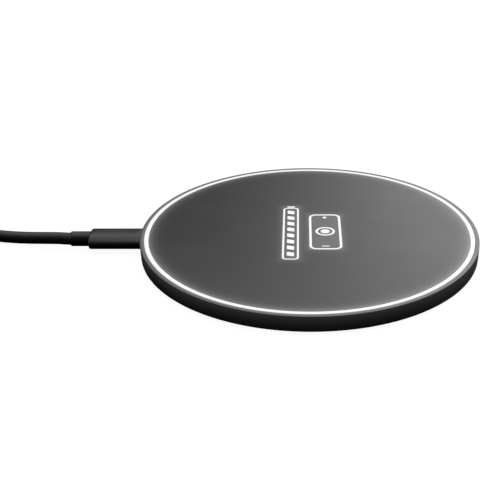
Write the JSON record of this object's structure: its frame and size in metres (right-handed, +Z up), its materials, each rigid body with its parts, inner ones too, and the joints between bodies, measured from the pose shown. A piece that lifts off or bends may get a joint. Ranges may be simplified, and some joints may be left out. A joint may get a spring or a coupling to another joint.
{
  "type": "wireless charging pad",
  "caption": "Thin round wireless charging pad with a lit rim ring and lit marks on its dark top, and a detachable plug-in lead.",
  "frame": {"origin": "on the surface the pad stands on, under the middle of the round pad", "axes": "+Z up out of the lit top, +Y towards the socket in the pad's side where the lead leaves, +X to the right of someone who reads the marks"},
  "size_m": [0.1089, 0.2003, 0.008],
  "materials": {
    "housing_plastic": "satin black moulded plastic",
    "foot_silicone": "matt silicone",
    "top_panel": "satin dark grey printed panel",
    "lit_diffuser": "frosted white diffuser, lit",
    "light_guide": "frosted clear plate",
    "white_film": "matt white",
    "circuit_board": "green solder mask",
    "steel": "plated steel",
    "ferrite": "pressed ferrite",
    "copper": "enamelled copper",
    "foam": "open-cell foam",
    "chip_black": "moulded black resin",
    "ceramic_chip": "fired ceramic",
    "plug_plastic": "satin black overmould",
    "cord_jacket": "satin black jacket",
    "tie_fabric": "woven hook and loop strap"
  },
  "bodies": {
    "pad": {"housing": "housing_plastic", "bottom_cover": "housing_plastic", "anti_slip_foot": "foot_silicone", "top_panel": "top_panel", "cover_screw_1": "steel", "cover_screw_2": "steel", "cover_screw_3": "steel", "cover_screw_4": "steel", "light_ring": "lit_diffuser", "light_guide": "light_guide", "reflector_sheet": "white_film", "light_board": "circuit_board", "led_1": "white_film", "led_2": "white_film", "led_3": "white_film", "led_4": "white_film", "led_5": "white_film", "led_6": "white_film", "led_7": "white_film", "led_8": "white_film", "ferrite_disc": "ferrite", "charging_coil": "copper", "coil_lead_inner": "copper", "coil_lead_outer": "copper", "foam_ring": "foam", "thermistor": "chip_black", "main_board": "circuit_board", "charge_controller": "chip_black", "power_stage": "chip_black", "power_inductor": "ferrite", "input_capacitor": "ceramic_chip", "resonant_capacitor_1": "ceramic_chip", "resonant_capacitor_2": "ceramic_chip", "resonant_capacitor_3": "ceramic_chip", "resonant_capacitor_4": "ceramic_chip", "socket_shell": "steel", "socket_tongue": "chip_black"},
    "lead": {"plug_shell": "steel", "plug_insert": "chip_black", "plug_grip": "plug_plastic", "plug_collar": "plug_plastic", "cord_lead": "cord_jacket", "cord_coil": "cord_jacket", "cord_tail": "cord_jacket", "cable_tie": "tie_fabric", "far_plug_collar": "plug_plastic", "far_plug_grip": "plug_plastic", "far_plug_shell": "steel", "far_plug_insert": "chip_black"}
  },
  "joints": [
    {"name": "plug_slide", "type": "slide", "parent": "pad", "child": "lead", "axis": [0, 1, 0], "range_m": [0, 0.008]}
  ]
}
